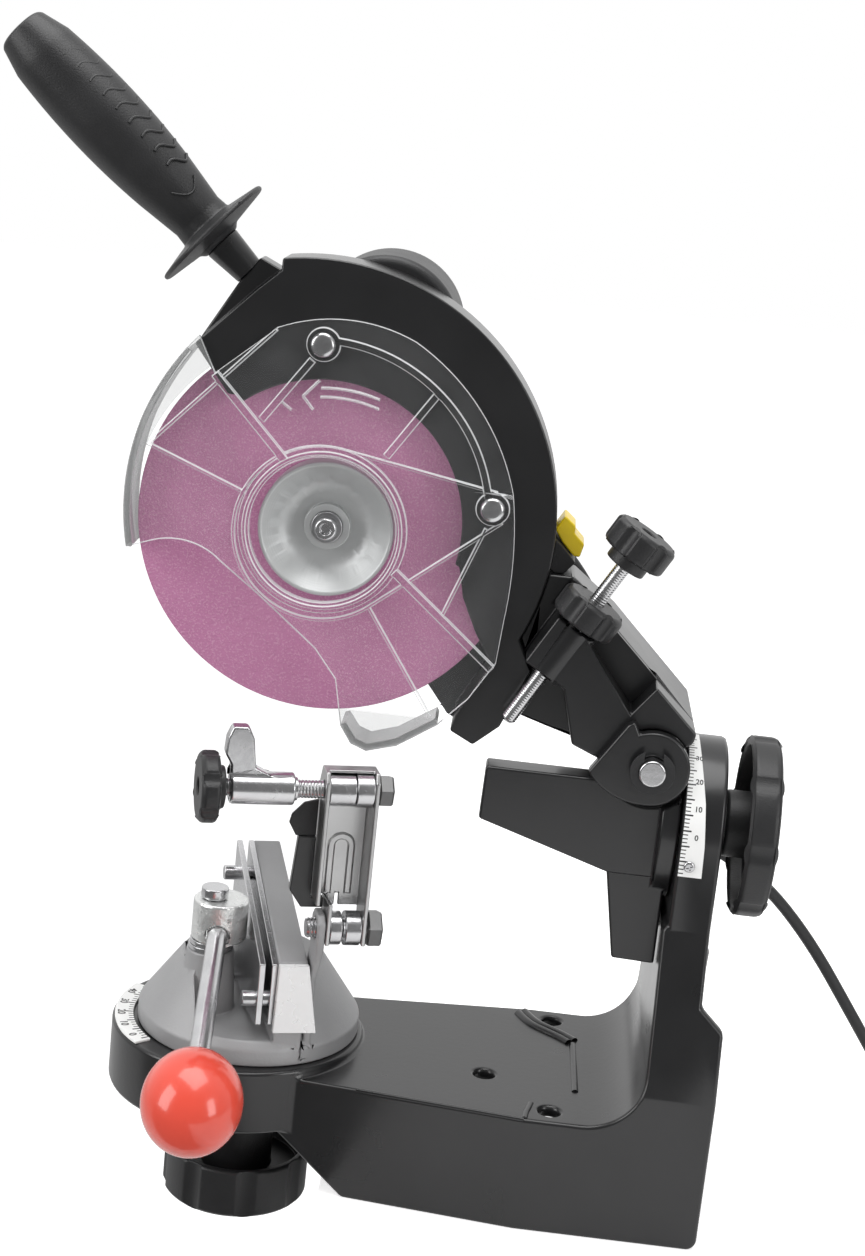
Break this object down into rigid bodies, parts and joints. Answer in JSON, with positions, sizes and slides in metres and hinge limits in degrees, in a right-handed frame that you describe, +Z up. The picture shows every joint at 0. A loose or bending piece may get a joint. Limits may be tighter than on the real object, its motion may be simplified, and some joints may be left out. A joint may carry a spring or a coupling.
{
  "type": "electric chainsaw sharpener",
  "caption": "Bench grinder for saw chain: tilting motor head with a guarded wheel over a swivelling chain vise on a bolt-down base.",
  "frame": {"origin": "on the bench face, midway between the two rear bench bolts", "axes": "+X from the vise to the column, +Y away from the operator along the wheel's arbor, +Z up"},
  "size_m": [0.4667, 0.2942, 0.4523],
  "materials": {
    "black_casting": "gloss black enamel on cast aluminium",
    "grey_casting": "satin grey coated casting",
    "black_plastic": "moulded, fine texture",
    "clear_plastic": "clear moulded polycarbonate",
    "bright_steel": "nickel-plated steel",
    "brushed": "turned and brushed steel",
    "abrasive": "pink vitrified abrasive",
    "red_plastic": "polished red moulding",
    "yellow_plastic": "yellow moulding",
    "scale_plate": "white plate with printed ticks",
    "motor_core": "laminations and windings",
    "cord_rubber": "two-core flexible lead"
  },
  "bodies": {
    "base": {"base_frame": "black_casting", "tilt_scale": "scale_plate", "vise_scale": "scale_plate", "supply_cord": "cord_rubber", "cord_coil": "cord_rubber", "mains_plug": "black_plastic"},
    "tilt_bracket": {"tilt_bracket": "black_casting", "pivot_pin": "bright_steel", "pin_clip": "brushed", "return_spring": "brushed", "tilt_stud": "brushed", "cord_clip": "black_plastic", "tilt_washer": "bright_steel"},
    "tilt_knob": {"tilt_knob": "black_plastic"},
    "head": {"guard_housing": "black_casting", "clear_cover": "clear_plastic", "cover_screws": "bright_steel", "handle_neck": "black_plastic", "handle_grip": "black_plastic", "motor_housing": "black_plastic", "motor_end_cover": "grey_casting", "stator": "motor_core", "motor_bearings": "brushed", "capacitor_can": "black_plastic", "head_arm": "black_casting", "switch_housing": "black_plastic", "cord_gland": "black_plastic", "motor_lead": "cord_rubber"},
    "wheel": {"arbor": "brushed", "rotor": "motor_core", "cooling_fan": "black_plastic", "grinding_wheel": "abrasive", "inner_flange": "brushed", "outer_flange": "brushed", "flange_screw": "bright_steel"},
    "depth_stop": {"depth_rod": "bright_steel"},
    "depth_knob": {"depth_knob": "black_plastic"},
    "depth_lock_knob": {"depth_lock_knob": "black_plastic"},
    "switch_rocker": {"switch_rocker": "yellow_plastic"},
    "turntable": {"turntable": "grey_casting", "jaw_end_plate": "bright_steel", "fixed_jaw": "brushed", "jaw_guide_pins": "bright_steel", "swivel_stud": "brushed", "cam_stud": "bright_steel", "vise_washers": "bright_steel", "stop_support": "black_casting", "stop_leaf": "black_plastic", "stop_bracket": "bright_steel", "stop_bracket_bolt": "bright_steel", "stop_spacers": "bright_steel"},
    "stop_knob": {"stop_screw": "bright_steel", "stop_knob": "black_plastic"},
    "pawl_sleeve": {"pawl_sleeve": "brushed"},
    "swivel_knob": {"swivel_knob": "black_plastic"},
    "moving_jaw": {"moving_jaw": "brushed"},
    "clamp_lever": {"cam_barrel": "bright_steel", "lever_rod": "bright_steel", "lever_ball": "red_plastic"},
    "stop_pawl": {"stop_pawl": "bright_steel"}
  },
  "joints": [
    {"name": "tilt", "type": "hinge", "parent": "base", "child": "tilt_bracket", "pos_m": [0.036, 0, 0.1547], "axis": [1, 0, 0], "range_deg": [-30, 25], "deforming": ["supply_cord"]},
    {"name": "tilt_knob_turn", "type": "hinge", "parent": "tilt_bracket", "child": "tilt_knob", "pos_m": [0.06, 0, 0.1547], "axis": [1, 0, 0], "range_deg": [-360, 0]},
    {"name": "head_swing", "type": "hinge", "parent": "tilt_bracket", "child": "head", "pos_m": [0.0225, 0, 0.1815], "axis": [0, -1, 0], "range_deg": [0, 13], "deforming": ["motor_lead"]},
    {"name": "wheel_spin", "type": "hinge", "parent": "head", "child": "wheel", "pos_m": [-0.108, 0, 0.2545], "axis": [0, 1, 0], "continuous": true},
    {"name": "depth_slide", "type": "slide", "parent": "head", "child": "depth_stop", "axis": [0.497, 0, 0.8678], "range_m": [0, 0.012]},
    {"name": "depth_lock_turn", "type": "hinge", "parent": "head", "child": "depth_lock_knob", "pos_m": [-0.00815, -0.017, 0.23379], "axis": [0.497, 0, 0.8678], "range_deg": [-180, 0]},
    {"name": "depth_knob_turn", "type": "hinge", "parent": "depth_stop", "child": "depth_knob", "pos_m": [0.00676, -0.017, 0.25982], "axis": [0.497, 0, 0.8678], "range_deg": [0, 4320]},
    {"name": "stop_knob_turn", "type": "hinge", "parent": "turntable", "child": "stop_knob", "pos_m": [-0.13542, -0.04754, 0.1615], "axis": [0.9613, 0.2756, 0], "range_deg": [-540, 540]},
    {"name": "pawl_slide", "type": "slide", "parent": "turntable", "child": "pawl_sleeve", "axis": [0.9613, 0.2756, 0], "range_m": [-0.0015, 0.0015]},
    {"name": "switch_rock", "type": "hinge", "parent": "head", "child": "switch_rocker", "pos_m": [-0.0172, 0.006, 0.2535], "axis": [0, 1, 0], "range_deg": [0, 8]},
    {"name": "vise_swivel", "type": "hinge", "parent": "base", "child": "turntable", "pos_m": [-0.122, 0, 0.05], "axis": [0, 0, 1], "range_deg": [-51, 3]},
    {"name": "swivel_knob_turn", "type": "hinge", "parent": "turntable", "child": "swivel_knob", "pos_m": [-0.122, 0, 0], "axis": [0, 0, 1], "range_deg": [-180, 180]},
    {"name": "clamp_swing", "type": "hinge", "parent": "turntable", "child": "clamp_lever", "pos_m": [-0.13787, -0.01287, 0.09], "axis": [0, 0, 1], "range_deg": [-60, 20]},
    {"name": "jaw_slide", "type": "slide", "parent": "turntable", "child": "moving_jaw", "axis": [0.9613, 0.2756, 0], "range_m": [-0.0014, 0.0005]},
    {"name": "stop_flip", "type": "hinge", "parent": "pawl_sleeve", "child": "stop_pawl", "pos_m": [-0.11042, -0.04037, 0.1615], "axis": [0.9613, 0.2756, 0], "range_deg": [0, 95]}
  ],
  "couplings": [
    {"joint": "jaw_slide", "follows": "clamp_swing", "m_per_rad": 0.001337},
    {"joint": "depth_knob_turn", "follows": "depth_slide", "rad_per_m": 6283.2},
    {"joint": "stop_knob_turn", "follows": "pawl_slide", "rad_per_m": 6283.2}
  ]
}
